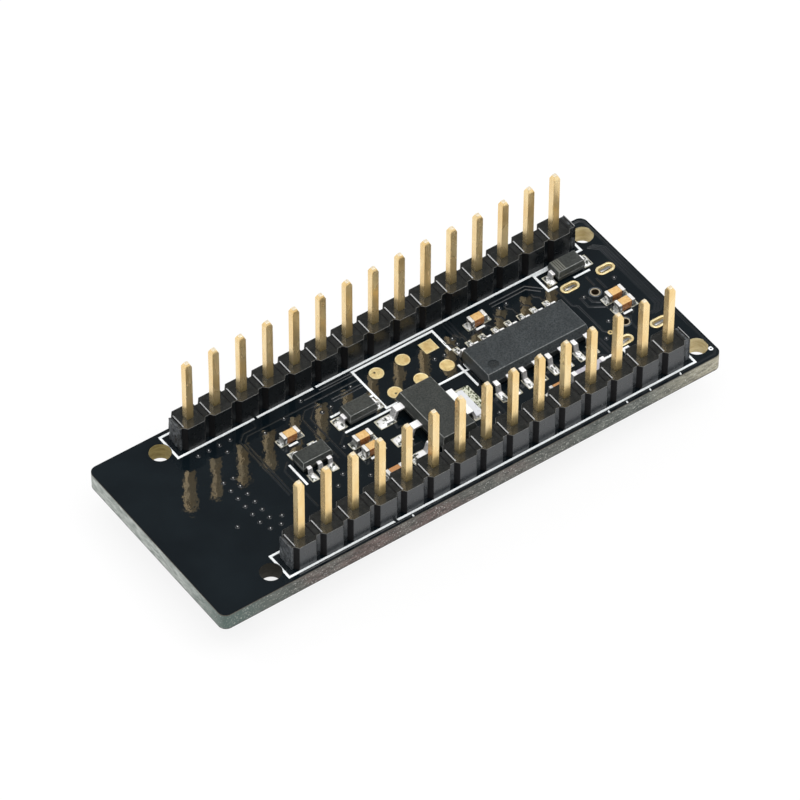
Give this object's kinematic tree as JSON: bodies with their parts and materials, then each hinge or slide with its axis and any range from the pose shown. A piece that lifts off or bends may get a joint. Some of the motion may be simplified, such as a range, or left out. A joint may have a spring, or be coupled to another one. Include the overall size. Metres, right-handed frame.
{
  "type": "microcontroller board with radio and pin headers",
  "caption": "Small microcontroller board with a printed antenna, a micro USB socket and a row of header pins along each long side, drawn pin side up.",
  "frame": {"origin": "middle of the four mounting holes, on the board's pin-side face", "axes": "+X along the board to its USB end, +Z out of the pin side along the pins, +Y across the board to the far row of pins; the hidden side with the USB socket faces -Z"},
  "size_m": [0.0494, 0.0188, 0.0131],
  "materials": {
    "board_coating": "glossy black coating on glass-epoxy",
    "print_white": "matt white print",
    "gilt_copper": "bright gilt",
    "coated_copper": "copper under the glossy coating",
    "header_plastic": "semi-gloss moulded black",
    "gilt_pin": "pale gilt",
    "solder": "bright solder",
    "tinned_lead": "satin tin",
    "chip_body": "matt moulded black",
    "resonator_ceramic": "pale ceramic",
    "capacitor_ceramic": "tan ceramic",
    "socket_steel": "satin plated steel",
    "socket_plastic": "matt black",
    "crystal_base": "ceramic",
    "switch_plastic": "matt black",
    "button_plastic": "matt off-white",
    "light_base": "matt white",
    "light_lens": "clear resin",
    "resistor_body": "matt black"
  },
  "bodies": {
    "board": {"circuit_board": "board_coating", "print_lines": "print_white", "programming_pads": "gilt_copper", "usb_slot_linings": "gilt_copper", "antenna_line": "coated_copper", "header_strip_near": "header_plastic", "header_strip_far": "header_plastic", "header_pins_near": "gilt_pin", "header_pins_far": "gilt_pin", "header_solder_near": "solder", "header_solder_far": "solder", "serial_chip_body": "chip_body", "serial_chip_leads": "tinned_lead", "resonator_body": "resonator_ceramic", "resonator_bands": "tinned_lead", "main_regulator_body": "chip_body", "main_regulator_leads": "tinned_lead", "main_regulator_tab": "tinned_lead", "radio_regulator_body": "chip_body", "radio_regulator_leads": "tinned_lead", "signal_diode_body": "chip_body", "signal_diode_leads": "tinned_lead", "power_diode_body": "chip_body", "power_diode_leads": "tinned_lead", "capacitor_bodies": "capacitor_ceramic", "capacitor_ends": "tinned_lead", "usb_shell": "socket_steel", "usb_insulator": "socket_plastic", "usb_contacts": "gilt_copper", "microcontroller_body": "chip_body", "microcontroller_leads": "tinned_lead", "radio_chip_body": "chip_body", "radio_chip_lands": "tinned_lead", "crystal_bases": "crystal_base", "crystal_lids": "socket_steel", "switch_housing": "switch_plastic", "switch_terminals": "tinned_lead", "switch_dome": "socket_steel", "switch_cover": "socket_steel", "led_bases": "light_base", "led_lenses": "light_lens", "resistor_bodies": "resistor_body", "resistor_ends": "tinned_lead", "rear_capacitor_bodies": "capacitor_ceramic", "rear_capacitor_ends": "tinned_lead"},
    "button": {"reset_button": "button_plastic"}
  },
  "joints": [
    {"name": "reset_press", "type": "slide", "parent": "board", "child": "button", "axis": [0, 0, 1], "range_m": [0, 0.00025], "stiffness_N_per_m": 300}
  ]
}
